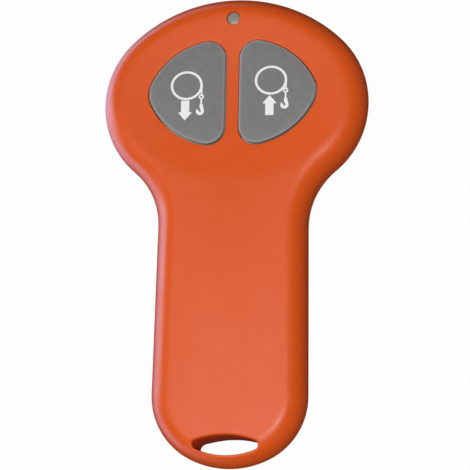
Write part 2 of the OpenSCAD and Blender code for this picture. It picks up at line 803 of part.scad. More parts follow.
module reservoir_capacitor() {
    groove = cap_r / 12;
    color(black) translate([0, high_row_y, board_top]) rotate_extrude()
        polygon([[0, 0], [cap_r, 0], [cap_r, cap_h * 0.12], [cap_r - groove, cap_h * 0.16],
            [cap_r, cap_h * 0.2], [cap_r, cap_h - groove], [cap_r - groove, cap_h], [0, cap_h]]);
}

module small_part(l, w, h) {
    translate([-l / 2, -w / 2, board_top]) cube([l, w, h]);
}

module transistors() {
    row_x = cap_r + chip_part_w;
    color(black) for (side = [-1, 1]) translate([side * row_x, high_row_y, 0])
        small_part(chip_part_w, chip_part_l * 1.4, chip_part_h * 1.6);
}

// Chip parts stand in rows outside and above the switches
module resistors() {
    row_x = switch_x + switch_w / 2 + leg_reach + chip_part_w;
    color(black) for (side = [-1, 1], i = [0 : 2])
        translate([side * row_x, keys_y - 2 * i * chip_part_l, 0])
            small_part(chip_part_w, chip_part_l, chip_part_h);
}

module capacitors() {
    row_y = keys_y + switch_w / 2 + 2 * chip_part_l;
    color(cream) for (side = [-1, 1], i = [-1 : 1])
        translate([side * switch_x + 2 * i * chip_part_w, row_y, 0])
            small_part(chip_part_w, chip_part_l, chip_part_h);
}

// Indicator

module indicator_led() {
    lens_r = led_d / 2;
    color(cream) translate([0, led_y, led_z]) {
        cylinder(led_flange_t, r = lens_r + led_flange);
        cylinder(led_h - lens_r, r = lens_r);
        translate([0, 0, led_h - lens_r]) intersection() {
            sphere(lens_r);
            cylinder(led_d, d = led_d + over);
        }
    }
}

module at_leads() {
    for (side = [-1, 1]) translate([side * lead_pitch / 2, led_y, board_top]) children();
}

module led_leads() {
    color(metal) at_leads() cylinder(led_z - board_top, r = lead_r);
}

module led_spacer() {
    color(black) difference() {
        translate([0, led_y, board_top]) cylinder(led_z - board_top, r = led_d / 2 + led_flange);
        at_leads() translate([0, 0, -over]) cylinder(led_z, r = lead_r + plunger_air);
    }
}

// Battery and its contacts

module battery_can() {
    can_l = battery_l - button_h;
    edge = button_h / 3;
    color(metal) translate([0, battery_y, battery_z]) rotate([-90, 0, 0]) rotate_extrude()
        polygon([[0, 0], [battery_d / 2 - edge, 0], [battery_d / 2, edge], [battery_d / 2, can_l - edge],
            [battery_d / 2 - edge, can_l], [0, can_l]]);
}

module battery_button() {
    color(metal) translate([0, plate_y - button_h, battery_z]) rotate([-90, 0, 0])
        cylinder(button_h, d = button_d);
}

contact_z = wall + tab_air + tab_t;
module contact_plate() {
    translate([-contact_w / 2, 0, contact_z]) cube([contact_w, contact_t, contact_h]);
}

module spring_contact() {
    color(metal) {
        translate([0, spring_y, 0]) contact_plate();
        translate([0, spring_y + contact_t + spring_wire_r, battery_z]) rotate(90)
            winding(spring_r, spring_end_r, spring_wire_r, spring_turns, spring_l - 2 * spring_wire_r);
    }
}

module plate_contact() {
    color(metal) {
        translate([0, plate_y, 0]) contact_plate();
        translate([-contact_w / 4, plate_y, board_top])
            cube([contact_w / 2, contact_t + lip_fit + contact_foot, contact_t]);
    }
}

// Strip from the spring's plate along the battery to the board
module return_strip() {
    strip_z = board_top + contact_t;
    color(brass) {
        translate([contact_w / 2, spring_y, strip_z])
            cube([strip_x + contact_t - contact_w / 2, contact_t, strip_h]);
        translate([strip_x, spring_y, strip_z])
            cube([contact_t, board_tail_y + contact_foot - spring_y, strip_h]);
        translate([strip_x, board_tail_y, board_top])
            cube([contact_t, contact_foot, 2 * contact_t]);
        translate([strip_x, board_tail_y, board_top])
            cube([contact_foot, contact_foot, contact_t]);
    }
}

module case_screws() {
    color(metal) at_screws() {
        translate([0, 0, screw_seat - screw_head_h]) cylinder(screw_head_h, r = screw_head_r);
        translate([0, 0, screw_seat]) cylinder(screw_l, r = screw_r);
    }
}

front_shell();
back_shell();
battery_door();
door_latch();
left_button();
right_button();
left_plunger();
right_plunger();
left_dome();
right_dome();
switch_bodies();
switch_covers();
switch_legs();
circuit_board();
antenna_trace();
encoder_chip();
chip_legs_row();
resonator_can();
crystal();
coil();
reservoir_capacitor();
transistors();
resistors();
capacitors();
indicator_led();
led_leads();
led_spacer();
battery_can();
battery_button();
spring_contact();
plate_contact();
return_strip();
case_screws();
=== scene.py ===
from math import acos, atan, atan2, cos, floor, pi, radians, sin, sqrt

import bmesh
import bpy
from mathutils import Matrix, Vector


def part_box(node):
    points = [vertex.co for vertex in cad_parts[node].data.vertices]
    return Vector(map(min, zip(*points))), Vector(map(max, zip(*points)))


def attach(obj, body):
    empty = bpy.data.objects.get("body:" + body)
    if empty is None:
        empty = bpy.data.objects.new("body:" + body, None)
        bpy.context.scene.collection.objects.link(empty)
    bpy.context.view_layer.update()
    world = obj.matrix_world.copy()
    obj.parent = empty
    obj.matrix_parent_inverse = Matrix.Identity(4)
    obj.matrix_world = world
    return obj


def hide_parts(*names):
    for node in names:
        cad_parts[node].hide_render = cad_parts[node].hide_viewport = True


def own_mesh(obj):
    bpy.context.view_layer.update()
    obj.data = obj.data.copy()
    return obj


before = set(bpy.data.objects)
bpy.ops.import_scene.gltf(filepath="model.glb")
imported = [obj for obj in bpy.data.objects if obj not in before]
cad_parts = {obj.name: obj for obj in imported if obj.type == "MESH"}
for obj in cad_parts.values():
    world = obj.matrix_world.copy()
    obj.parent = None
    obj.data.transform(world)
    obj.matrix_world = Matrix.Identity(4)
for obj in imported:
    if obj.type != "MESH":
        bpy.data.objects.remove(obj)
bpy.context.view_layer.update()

# %% [markdown]
# # A two-key hand remote
# This lesson dresses a wireless remote for the camera. It lies on its back, and its two orange
# shells, its keys and its small parts are already in the frame at their real places. The script
# gives the ones that show a moulded form, and every one a finish. The CAD model works in metres.
# The meshes here are drawn in millimetres, because moulded parts are drawn that way, and are
# scaled once when a piece is finished.

mm = 0.001

# %% sizes that the frame gives
def levels(node):
    """Lowest and highest corner of a node, in millimetres"""
    low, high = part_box(node)
    return low / mm, high / mm

housing_low, housing_high = levels("front_shell")
heel_y, head_y = housing_low.y, housing_high.y
face_z = housing_high.z
seam_z = levels("back_shell")[1].z
print("face at", round(face_z, 2), "and parting line at", round(seam_z, 2), "mm")

# %% [markdown]
# ## The camera
# The photograph looks almost straight down on the face, from a little to the right and a little
# towards the heel, and from about 40 cm. The walls that show inside the lanyard slot give the
# angle, and the way they change from the heel to the keys gives the distance.

# %% camera
def put_in(name, data):
    """A new object in the scene"""
    thing = bpy.data.objects.new(name, data)
    bpy.context.scene.collection.objects.link(thing)
    return thing

def look_from(turn, rise):
    """Direction to a camera that stands turn to the right and rise towards the heel"""
    return Vector((sin(turn) * cos(rise), -sin(rise), cos(turn) * cos(rise)))

camera_turn = radians(9.3)
camera_rise = radians(12.1)
camera_roll = radians(1.2)
camera_far = 400
pixels_per_mm = 4.312
image_px = 470
middle_px = Vector((234.9, 231.2))

camera_data = bpy.data.cameras.new("camera")
camera = put_in("camera", camera_data)
bpy.context.scene.camera = camera
sight = look_from(camera_turn, camera_rise)
aim = Vector((0, 0, face_z / 2))
forward = -sight
right = forward.cross(Vector((0, 1, 0))).normalized()
up = right.cross(forward)
rolled_right = right * cos(camera_roll) + up * sin(camera_roll)
rolled_up = up * cos(camera_roll) - right * sin(camera_roll)
turned = Matrix((rolled_right, rolled_up, sight)).transposed().to_4x4()
camera.matrix_world = Matrix.Translation((aim + sight * camera_far) * mm) @ turned
camera_data.sensor_width = 36
camera_data.lens = camera_data.sensor_width * pixels_per_mm * camera_far / image_px
camera_data.shift_x = (image_px / 2 - middle_px.x) / image_px
camera_data.shift_y = (middle_px.y - image_px / 2) / image_px
camera_data.clip_start = 10 * mm
camera_data.clip_end = 10

# %% [markdown]
# ## Rings
# Every outline on this remote is a chain of arcs that run smoothly into each other: the housing,
# the keys and the lanyard slot. Such a chain is made by spinning one vertex about one centre after
# the other. Half a chain and its mirror image close into a ring. A ring that is extruded again and
# again, each time moved a little in or out and up or down, becomes a moulded wall.

# %% arcs
arc_step = 1.0

def shift(bm, by):
    bmesh.ops.translate(bm, verts=bm.verts, vec=by)

def resize(bm, by):
    bmesh.ops.scale(bm, verts=bm.verts, vec=by)

def start_at(bm, x, y):
    """The first vertex of a line"""
    return bmesh.ops.create_vert(bm, co=(x, y, 0))["vert"][0]

def run_arc(bm, vert, centre, turn, step=arc_step):
    """Spins a vertex about an upright axis, anticlockwise if turn is positive; gives the last"""
    reach = (vert.co.xy - Vector(centre)).length
    steps = max(2, round(reach * abs(turn) / step))
    made = bmesh.ops.spin(bm, geom=[vert], cent=(*centre, 0), axis=(0, 0, 1), angle=turn,
                          steps=steps)
    return next(v for v in made["geom_last"] if isinstance(v, bmesh.types.BMVert))

def run_straight(bm, vert, x, y):
    """Draws a straight line from a vertex to a place in short steps; gives the last vertex"""
    start, end = vert.co.copy(), Vector((x, y, 0))
    steps = max(1, round((end - start).length / arc_step / 2))
    for k in range(1, steps + 1):
        vert = bmesh.ops.extrude_vert_indiv(bm, verts=[vert])["verts"][0]
        vert.co = start.lerp(end, k / steps)
    return vert

# %% rings
least_mitre = 0.7

def open_edges(vert):
    return [e for e in vert.link_edges if e.is_wire or e.is_boundary]

def walk(start):
    """The vertices of a closed chain of edges in order, anticlockwise seen from above"""
    ring, edge = [start], open_edges(start)[0]
    while edge.other_vert(ring[-1]) is not start:
        ring.append(edge.other_vert(ring[-1]))
        edge = next(e for e in open_edges(ring[-1]) if e is not edge)
    turning = sum(a.co.x * b.co.y - b.co.x * a.co.y for a, b in zip(ring[-1:] + ring, ring))
    return ring if turning > 0 else ring[::-1]

def measured(verts):
    """A ring: its vertices, where each one started, and which way is outwards there"""
    starts = [v.co.copy() for v in verts]
    outwards = []
    for before, here, after in zip(starts[-1:] + starts, starts, starts[1:] + starts[:1]):
        a = (here - before).to_2d().normalized()
        b = (after - here).to_2d().normalized()
        out = Vector((a.y + b.y, -a.x - b.x)).normalized()
        outwards.append((out / max(out.dot(Vector((a.y, -a.x))), least_mitre)).to_3d())
    return verts, starts, outwards

def place(ring, out, up):
    """Moves a ring's vertices outwards from where it started, and up by a distance"""
    for vert, start, outwards in zip(*ring):
        vert.co = start + outwards * out + Vector((0, 0, up))

def edges_of(bm, ring):
    return [bm.edges.get((a, b)) for a, b in zip(ring[0][-1:] + ring[0], ring[0])]

def grow(bm, ring, out, up):
    """Extrudes a ring, and places the new one"""
    verts, starts, outwards = ring
    fresh = set(bmesh.ops.extrude_edge_only(bm, edges=edges_of(bm, ring))["geom"])
    new = [next(e.other_vert(v) for e in v.link_edges if e.other_vert(v) in fresh) for v in verts]
    place((new, starts, outwards), out, up)
    return new, starts, outwards

def mirror(bm, axis):
    """Closes half an outline with its mirror image"""
    bmesh.ops.mirror(bm, geom=bm.verts[:] + bm.edges[:], axis=axis, merge_dist=0.01)

def closed_ring(bm):
    """The ring of a mesh that is one closed outline"""
    bm.verts.ensure_lookup_table()
    return measured(walk(bm.verts[0]))

# %% [markdown]
# ## The outline of the housing
# The head is a wide top arc between two shoulders, and hollow neck arcs lead into the grip. The
# sizes are those of the CAD model. A crown says how far the wide arc rises above the round
# corners at its ends, which fixes its radius.

# %% housing outline
head_crown = 4.15
shoulder_r = 21
neck_r = 17.5
grip_w = 36
lean = atan(0.01)
heel_middle_w = 3.66
heel_crown = 0.45

def crown_r(half_w, rise, end_r):
    """Radius of the wide arc that rises above two round corners"""
    return half_w * half_w / (2 * rise) + rise / 2 + end_r

def on_circle(centre, r, angle):
    return Vector((centre.x + r * cos(angle), centre.y + r * sin(angle)))

shoulder_c = Vector((housing_high.x - shoulder_r, head_y - head_crown - shoulder_r))
top_r = crown_r(shoulder_c.x, head_crown, shoulder_r)
top_c = Vector((0, head_y - top_r))
shoulder_a = atan2(shoulder_c.y - top_c.y, shoulder_c.x)
side = Vector((cos(lean), sin(lean)))
side_d = side.dot(Vector((grip_w / 2, heel_y)))
neck_a = lean - acos((side_d + neck_r - side.dot(shoulder_c)) / (shoulder_r + neck_r))
neck_c = on_circle(shoulder_c, shoulder_r + neck_r, neck_a)
corner_reach = side.dot(Vector((heel_middle_w / 2, heel_y + heel_crown)))
corner_r = (side_d - corner_reach) / (1 + side.y)
corner_c = Vector((heel_middle_w / 2, heel_y + heel_crown + corner_r))
heel_r = crown_r(corner_c.x, heel_crown, corner_r)
heel_c = Vector((0, heel_y + heel_r))
corner_a = atan2(corner_c.y - heel_c.y, corner_c.x)

def housing_ring(bm):
    """The outline of the housing, from the top of the head round to the heel"""
    vert = start_at(bm, 0, head_y)
    vert = run_arc(bm, vert, top_c, shoulder_a - pi / 2)
    vert = run_arc(bm, vert, shoulder_c, neck_a - shoulder_a)
    vert = run_arc(bm, vert, neck_c, lean - neck_a)
    vert = run_straight(bm, vert, *on_circle(corner_c, corner_r, lean))
    vert = run_arc(bm, vert, corner_c, corner_a - lean)
    run_arc(bm, vert, heel_c, -pi / 2 - corner_a)
    mirror(bm, "X")
    return closed_ring(bm)

# %% key outline
key_bar = 3.2
key_w, key_h = 18, 24.8
key_corner_r, key_end_r, key_slope_r = 4.2, 6, 18
keys_y = head_y - 23.9
key_in_x = key_bar / 2
key_corner_c = Vector((key_in_x + key_corner_r, key_h / 2 - key_corner_r))
key_end_c = Vector((key_in_x + key_w - key_end_r, 0))

def meet(a, reach_a, b, reach_b):
    """The point at one distance from a and another from b, on the right of the way from a to b"""
    apart = (b - a).length
    along = (b - a) / apart
    m = (reach_a ** 2 - reach_b ** 2 + apart ** 2) / (2 * apart)
    return a + along * m + Vector((along.y, -along.x)) * sqrt(reach_a ** 2 - m ** 2)

def angle_of(centre, point):
    return atan2(point.y - centre.y, point.x - centre.x)

key_slope_c = meet(key_corner_c, key_slope_r - key_corner_r, key_end_c, key_slope_r - key_end_r)
key_corner_a = angle_of(key_slope_c, key_corner_c)
key_end_a = angle_of(key_slope_c, key_end_c)

def key_ring(hand):
    """A maker of the outline of the right key for hand 1, and of the left key for hand -1"""
    def make(bm):
        vert = start_at(bm, key_in_x, 0)
        vert = run_straight(bm, vert, key_in_x, key_corner_c.y)
        vert = run_arc(bm, vert, key_corner_c, key_corner_a - pi, 0.5)
        vert = run_arc(bm, vert, key_slope_c, key_end_a - key_corner_a, 0.7)
        run_arc(bm, vert, key_end_c, -key_end_a, 0.5)
        resize(bm, (hand, 1, 1))
        mirror(bm, "Y")
        shift(bm, (0, keys_y, 0))
        return closed_ring(bm)
    return make

# %% slot outline
slot_h, slot_rim, slot_top_r, slot_tip_r = 4.4, 2.7, 20, 1
slot_top_y = heel_y + slot_rim + slot_h
slot_top_c = Vector((0, slot_top_y - slot_top_r))
slot_low_r = heel_r - slot_rim
slot_tip_c = meet(slot_top_c, slot_top_r - slot_tip_r, heel_c, slot_low_r - slot_tip_r)
slot_up_a = angle_of(slot_top_c, slot_tip_c)
slot_low_a = angle_of(heel_c, slot_tip_c)

def slot_ring(bm):
    """The outline of the lanyard slot, a lens between two arcs with round tips"""
    vert = start_at(bm, 0, slot_top_y)
    vert = run_arc(bm, vert, slot_top_c, slot_up_a - pi / 2, 0.5)
    vert = run_arc(bm, vert, slot_tip_c, slot_low_a - slot_up_a, 0.25)
    run_arc(bm, vert, heel_c, -pi / 2 - slot_low_a, 0.5)
    mirror(bm, "X")
    return closed_ring(bm)

def round_ring(x, y, r, sides=32):
    """A maker of round rings"""
    def make(bm):
        bmesh.ops.create_circle(bm, radius=r, segments=sides, matrix=Matrix.Translation((x, y, 0)))
        return closed_ring(bm)
    return make

# %% [markdown]
# ## Walls, cuts and rolled edges
# A closed solid is a ring taken through a list of levels, with a cap at each end. Openings are cut
# with Blender's boolean. A moulded opening never has a sharp rim, so the cut is made a little too
# large, its walls are thrown away, and the border that is left is rolled inwards and down in steps.

# %% solids from rings
def solid(make_ring, steps):
    """A closed solid: a ring taken through steps of (outwards, height) and capped at both ends"""
    bm = bmesh.new()
    ring = make_ring(bm)
    place(ring, *steps[0])
    for out, up in steps[1:]:
        ring = grow(bm, ring, out, up)
    bmesh.ops.edgeloop_fill(bm, edges=[e for e in bm.edges if e.is_boundary])
    bmesh.ops.recalc_face_normals(bm, faces=bm.faces)
    return bm

def column(make_ring, out, low, high):
    """A solid with upright walls"""
    return solid(make_ring, [(out, low), (out, high)])

def block(x0, x1, y0, y1, z0, z1):
    """A closed box between two corners"""
    bm = bmesh.new()
    bmesh.ops.create_cube(bm, size=1)
    resize(bm, (x1 - x0, y1 - y0, z1 - z0))
    shift(bm, ((x0 + x1) / 2, (y0 + y1) / 2, (z0 + z1) / 2))
    return bm

def quarter(steps, first=1):
    """Angles of a quarter turn in even steps"""
    return [pi / 2 * k / steps for k in range(first, steps + 1)]

def rounded(r, z, steps):
    """Steps of a solid that round off its lower edge, from a height upwards"""
    return [(-r * (1 - sin(a)), z + r * (1 - cos(a))) for a in quarter(steps, 0)]

def domed(reach, rise, top_z, steps):
    """Steps of a solid that close in over its upper edge, up to a height"""
    return [(reach * (cos(a) - 1), top_z - rise * (1 - sin(a))) for a in quarter(steps, 0)]

# %% cutting and joining solids
def as_object(bm, name):
    mesh = bpy.data.meshes.new(name)
    bm.to_mesh(mesh)
    bm.free()
    return put_in(name, mesh)

def carve(bm, tool, how="DIFFERENCE"):
    """Cuts a solid with another or joins them; faces that came from the tool get material 1"""
    for face in tool.faces:
        face.material_index = 1
    body, knife = as_object(bm, "body"), as_object(tool, "knife")
    for thing in (body, knife):
        thing.data.materials.append(None)
        thing.data.materials.append(None)
    step = body.modifiers.new("carve", "BOOLEAN")
    step.object, step.operation, step.solver = knife, how, "MANIFOLD"
    made = bmesh.new()
    made.from_object(body, bpy.context.evaluated_depsgraph_get())
    for thing in (body, knife):
        mesh = thing.data
        bpy.data.objects.remove(thing)
        bpy.data.meshes.remove(mesh)
    return made

# %% rolled edges of openings
hair = 0.001

def lies_at(face, z):
    """Whether a face is flat at a height"""
    return all(abs(v.co.z - z) < hair for v in face.verts)

def borders(bm):
    """The closed rings along the open borders of a mesh"""
    left = {v for v in bm.verts if v.is_boundary}
    rings = []
    while left:
        ring = walk(next(iter(left)))
        left -= set(ring)
        rings.append(ring)
    return rings

def roll(bm, verts, reach, wall_z, steps=6):
    """Rolls a border inwards over a corner of this reach, then runs a wall to a height"""
    ring = measured(verts)
    bm.normal_update()
    climbs = [v.normal.dot(out) / v.normal.z for v, out in zip(ring[0], ring[2])]
    sense = -1 if verts[0].normal.z < 0 else 1
    for k in range(1, steps + 1):
        u = k / steps
        ring = grow(bm, ring, -reach * (1 - (1 - u) ** 2), 0)
        for vert, start, climb in zip(ring[0], ring[1], climbs):
            corner = start.z + reach * climb
            end = corner - sense * reach * sqrt(1 + climb ** 2)
            vert.co.z = (1 - u) ** 2 * start.z + 2 * u * (1 - u) * corner + u * u * end
    ring = grow(bm, ring, -reach, 0)
    for vert in ring[0]:
        vert.co.z = wall_z
    return ring

def open_up(bm, openings, cap_z):
    """Cuts (ring maker, growth) openings through a solid; leaves them and the cap at cap_z open"""
    for make_ring, out in openings:
        bm = carve(bm, column(make_ring, out, -1, face_z + 1))
    gone = [f for f in bm.faces if f.material_index == 1 or lies_at(f, cap_z)]
    bmesh.ops.delete(bm, geom=gone, context="FACES")
    bmesh.ops.remove_doubles(bm, verts=[v for v in bm.verts if v.is_boundary], dist=0.06)
    return bm, [ring for ring in borders(bm) if abs(ring[0].co.z - cap_z) > 0.01]

def middle_of(verts):
    return sum((v.co.xy for v in verts), Vector((0, 0))) / len(verts)

def border_at(loops, x, y):
    """The border whose middle is nearest to a place"""
    return min(loops, key=lambda loop: (middle_of(loop) - Vector((x, y))).length)

def close_flat(bm):
    """Fills the flat open side of a solid, round the walls of its openings"""
    edges = [e for e in bm.edges if e.is_boundary]
    bmesh.ops.triangle_fill(bm, edges=edges, use_beauty=True)
    bmesh.ops.recalc_face_normals(bm, faces=bm.faces)

# %% finishing a piece
sharp_angle = radians(32)

def piece(bm, name, body, *stands_for):
    """Scales a mesh to metres, smooths it up to its sharp edges, and makes it ride on a body"""
    resize(bm, (mm, mm, mm))
    for face in bm.faces:
        face.smooth = True
        face.material_index = 0
    bm.normal_update()
    for edge in bm.edges:
        edge.smooth = len(edge.link_faces) == 2 and edge.calc_face_angle(0) < sharp_angle
    thing = as_object(bm, name)
    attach(thing, body)
    if stands_for:
        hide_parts(*stands_for)
    print(name, len(thing.data.polygons), "faces")
    return thing

# %% [markdown]
# ## The front shell
# The front shell is moulded ABS. Its edge rounds over from the parting line to the face along a
# quarter of an ellipse, and round the keys the face is a shallow dish. The face is first a flat
# cap, sliced into small cells, and then the cells inside the dish are lowered.

# %% front shell, outside
wall = 2
seam_bevel = 0.2
front_in, front_down = 5, face_z - seam_z
front_steps = [(-seam_bevel, seam_z), (0, seam_z + seam_bevel)]
front_steps += [(-front_in * (1 - cos(a)), seam_z + front_down * sin(a)) for a in quarter(14)]
front = solid(housing_ring, front_steps)

def slice_cap(bm, z, corner, far_corner, cell):
    """Slices the flat cap at height z into cells between two corners"""
    for axis, normal in ((0, (1, 0, 0)), (1, (0, 1, 0))):
        for k in range(floor((far_corner[axis] - corner[axis]) / cell) + 1):
            at = Vector((0, 0, z))
            at[axis] = corner[axis] + k * cell
            faces = [f for f in bm.faces if lies_at(f, z)]
            geom = set(faces) | {e for f in faces for e in f.edges}
            geom |= {v for f in faces for v in f.verts}
            bmesh.ops.bisect_plane(bm, geom=list(geom), dist=hair, plane_co=at, plane_no=normal)

# %% the dish
dish_half = Vector((26, 20))
dish_depth = 1.1
dish_c = Vector((0, head_y - 25))
dish_softness = 0.06
dish_cell = 1.6

def dish_drop(x, y):
    """How far the dish lowers the face at a place, with a soft rim"""
    depth = max(0, 1 - ((x - dish_c.x) / dish_half.x) ** 2 - ((y - dish_c.y) / dish_half.y) ** 2)
    return dish_depth * (1 + dish_softness) * depth ** 2 / (depth + dish_softness)

slice_cap(front, face_z, dish_c - dish_half, dish_c + dish_half, dish_cell)
for vert in front.verts:
    if abs(vert.co.z - face_z) < hair:
        vert.co.z -= dish_drop(vert.co.x, vert.co.y)

# %% openings of the front shell
key_gap = 0.18
key_roll, lens_roll, slot_roll = 0.12, 0.1, 0.8
led_y = head_y - 6
lens_hole_r = 1.58
key_x = 10
lens_ring = round_ring(0, led_y, lens_hole_r, 40)
front, loops = open_up(front, [
    (key_ring(1), key_gap + key_roll), (key_ring(-1), key_gap + key_roll),
    (lens_ring, lens_roll), (slot_ring, slot_roll)], seam_z)
for x, y, reach in ((key_x, keys_y, key_roll), (-key_x, keys_y, key_roll),
                    (0, led_y, lens_roll), (0, slot_top_y, slot_roll)):
    roll(front, border_at(loops, x, y), reach, seam_z)
close_flat(front)
print("closed:", all(e.is_manifold for e in front.edges))

# %% [markdown]
# ## The inside of the front shell
# The inside is cut out as one solid: the room under the wall, less what stands in it. That is the
# thick floor of the dish, the tube round the slot, the four screw posts and the four board posts.

# %% places inside
board_low, board_high = levels("circuit_board")
screws_low, screws_high = levels("case_screws")
screw_head_r, screw_r, post_r, screw_post_r = 1.9, 1, 1.5, 2.9
screw_in = 6.6

def both_sides(*places):
    """Each place and its mirror image"""
    return [(x, y) for x0, y in places for x in (x0, -x0)]

screw_places = both_sides((screws_high.x - screw_head_r, screws_high.y - screw_head_r),
                          (grip_w / 2 - screw_in, screws_low.y + screw_head_r))
low_post_x = levels("return_strip")[1].x + 0.3 + post_r
low_post_y = board_low.y + 1.8
high_post_x, high_post_y = 13, keys_y + 15.2
board_posts = both_sides((low_post_x, low_post_y), (high_post_x, high_post_y))
ceiling_z = face_z - dish_depth - wall
slot_wall = 1.4

def peg(x, y, r, low, high, sides=32):
    return column(round_ring(x, y, r, sides), 0, low, high)

def carve_pegs(bm, places, r, low, high, how="DIFFERENCE"):
    """Cuts an upright peg at each place, or joins it"""
    for x, y in places:
        bm = carve(bm, peg(x, y, r, low, high), how)
    return bm

def ellipse_ring(bm):
    bmesh.ops.create_circle(bm, radius=1, segments=96)
    resize(bm, (*dish_half, 1))
    shift(bm, (*dish_c, 0))
    return closed_ring(bm)

# %% front shell, inside
room_in, room_up = front_in - wall, front_down - wall
room_steps = [(-wall, seam_z - 1)]
room_steps += [(-front_in + room_in * cos(a), seam_z + room_up * sin(a)) for a in quarter(8, 0)]
room = solid(housing_ring, room_steps)
room = carve(room, column(ellipse_ring, 0, ceiling_z, face_z))
room = carve(room, column(slot_ring, slot_wall, seam_z - 2, face_z))
room = carve_pegs(room, screw_places, screw_post_r, seam_z - 2, face_z)
room = carve_pegs(room, board_posts, post_r, seam_z - 2, face_z)
front = carve(front, room)

# %% lip and posts of the front shell
lip_h, lip_fit = 1.2, 0.1
lip_in = -wall / 2 - lip_fit
lip = column(housing_ring, lip_in, seam_z - lip_h, seam_z + lip_h / 2)
lip = carve(lip, column(housing_ring, -wall, seam_z - lip_h - 1, seam_z + lip_h))
front = carve(front, lip, "UNION")
for x, y in screw_places:
    front = carve(front, peg(x, y, screw_post_r, board_high.z, seam_z + 1), "UNION")
    front = carve(front, peg(x, y, screw_r + 0.03, board_high.z - 1, board_high.z + 5.4))
front = carve_pegs(front, board_posts, post_r, board_high.z, seam_z + 1, "UNION")
front_shell = piece(front, "front_shell_moulding", "housing", "front_shell")

# %% [markdown]
# ## The back shell
# The back is deeper than the front and curves like a bar of soap, so that it lies well in a palm.
# It has four counterbores for the screws, the hatch of the battery and the other end of the slot.

# %% back shell, outside
back_in = 9
back_steps = [(-seam_bevel, seam_z), (0, seam_z - seam_bevel)]
back_steps += [(-back_in * (1 - cos(a)), seam_z * (1 - sin(a))) for a in quarter(16)]
back = solid(housing_ring, back_steps)

hatch_w, hatch_corner_r = 14.6, 1.6
hatch_y = levels("battery_door")[0].y - 0.2
hinge_y = board_low.y - 0.1
hatch_c = Vector((0, (hatch_y + hinge_y) / 2))
hatch_half = Vector((hatch_w / 2, (hinge_y - hatch_y) / 2))

def box_ring(half, corner):
    """A maker of rectangular rings with round corners, about the middle of the hatch"""
    def make(bm):
        inner = half - Vector((corner, corner))
        vert = start_at(bm, 0, half.y)
        vert = run_straight(bm, vert, inner.x, half.y)
        vert = run_arc(bm, vert, inner, -pi / 2, 0.3)
        run_straight(bm, vert, half.x, 0)
        mirror(bm, "Y")
        mirror(bm, "X")
        shift(bm, (*hatch_c, 0))
        return closed_ring(bm)
    return make

# %% openings of the back shell
hatch_roll, bore_roll = 0.3, 0.4
# The lanyard slot is a little wider here than in the front shell, so that its seam can't catch
# a cord.
slot_step = 0.3
bore_r, shank_hole_r = screw_head_r + 0.3, screw_r + 0.25
seat_z = screws_low.z + 1.4
hatch_ring = box_ring(hatch_half, hatch_corner_r)
back, loops = open_up(back, [(slot_ring, slot_roll + slot_step), (hatch_ring, hatch_roll)]
                      + [(round_ring(x, y, bore_r), bore_roll) for x, y in screw_places], seam_z)
roll(back, border_at(loops, 0, slot_top_y), slot_roll, seam_z)
hatch_wall = roll(back, border_at(loops, *hatch_c), hatch_roll, wall + 0.05)
bmesh.ops.edgeloop_fill(back, edges=edges_of(back, hatch_wall))
for x, y in screw_places:
    verts, starts, outwards = roll(back, border_at(loops, x, y), bore_roll, seat_z)
    starts = [v.co.copy() for v in verts]
    for vert, start in zip(verts, starts):
        start.z = 0
    seat = grow(back, (verts, starts, outwards), shank_hole_r - bore_r, seat_z)
    hole = grow(back, seat, shank_hole_r - bore_r, board_high.z + 0.4)
    bmesh.ops.edgeloop_fill(back, edges=edges_of(back, hole))
close_flat(back)
print("closed:", all(e.is_manifold for e in back.edges))

# %% back shell, inside
cross_y = hatch_y + 2.3
rib_x, rib_t, rib_top = hatch_w / 2 + 0.1, 1.2, wall + 5.4
cross_low, cross_top = 2.15, 10.4
hinge_wall_half = 3.5
room_in, room_down = back_in - wall, seam_z - wall
room_steps = [(-wall, seam_z + 1)]
room_steps += [(-back_in + room_in * cos(a), seam_z - room_down * sin(a)) for a in quarter(10, 0)]
room = solid(housing_ring, room_steps)
room = carve(room, column(slot_ring, slot_wall, 0, seam_z + 2))
room = carve_pegs(room, screw_places, screw_post_r, 0, board_high.z)
room = carve_pegs(room, board_posts, post_r, 0, board_low.z)
for x in (-rib_x - rib_t, rib_x):
    room = carve(room, block(x, x + rib_t, hatch_y, hinge_y, 0, rib_top))
room = carve(room, block(-rib_x - rib_t / 2, rib_x + rib_t / 2, cross_y, cross_y + rib_t,
                         cross_low, cross_top))
room = carve(room, block(-hinge_wall_half, hinge_wall_half, hinge_y, hinge_y + rib_t,
                         0, board_low.z))
back = carve(back, room)
groove = column(housing_ring, -wall / 2, seam_z - lip_h - lip_fit, seam_z + 1)
inner_lip = -wall - 2 * lip_fit
groove = carve(groove, column(housing_ring, inner_lip, seam_z - lip_h - 1, seam_z + 2))
back = carve(back, groove)
back_shell = piece(back, "back_shell_moulding", "housing", "back_shell")

# %% [markdown]
# ## The battery door
# The door has a rounded outer edge and four finger grooves. Inside stand two saddles that carry the
# battery and two tabs that hook in behind the edge of the hatch.

# %% battery door
door_gap, door_t, door_edge = 0.2, 1.8, 0.35
door_ring = box_ring(hatch_half - Vector((door_gap, door_gap)), hatch_corner_r - door_gap)
door_bevel = 0.15
door_steps = rounded(door_edge, 0, 4) + [(0, door_t - door_bevel), (-door_bevel, door_t)]
door = solid(door_ring, door_steps)

battery_low, battery_high = levels("battery_can")
battery_r = (battery_high.x - battery_low.x) / 2
battery_z = (battery_high.z + battery_low.z) / 2
saddle_t, saddle_top = 1.2, door_t + 2.2
battery_y, battery_l = -34.5, 28.5

def lying(bm, turn_axis, x, y, z):
    """Lays an upright solid down, about the Y axis along X or about the X axis along Y"""
    turn = Matrix.Rotation(pi / 2, 3, turn_axis)
    bmesh.ops.rotate(bm, verts=bm.verts, cent=(0, 0, 0), matrix=turn)
    shift(bm, (x, y, z))
    return bm

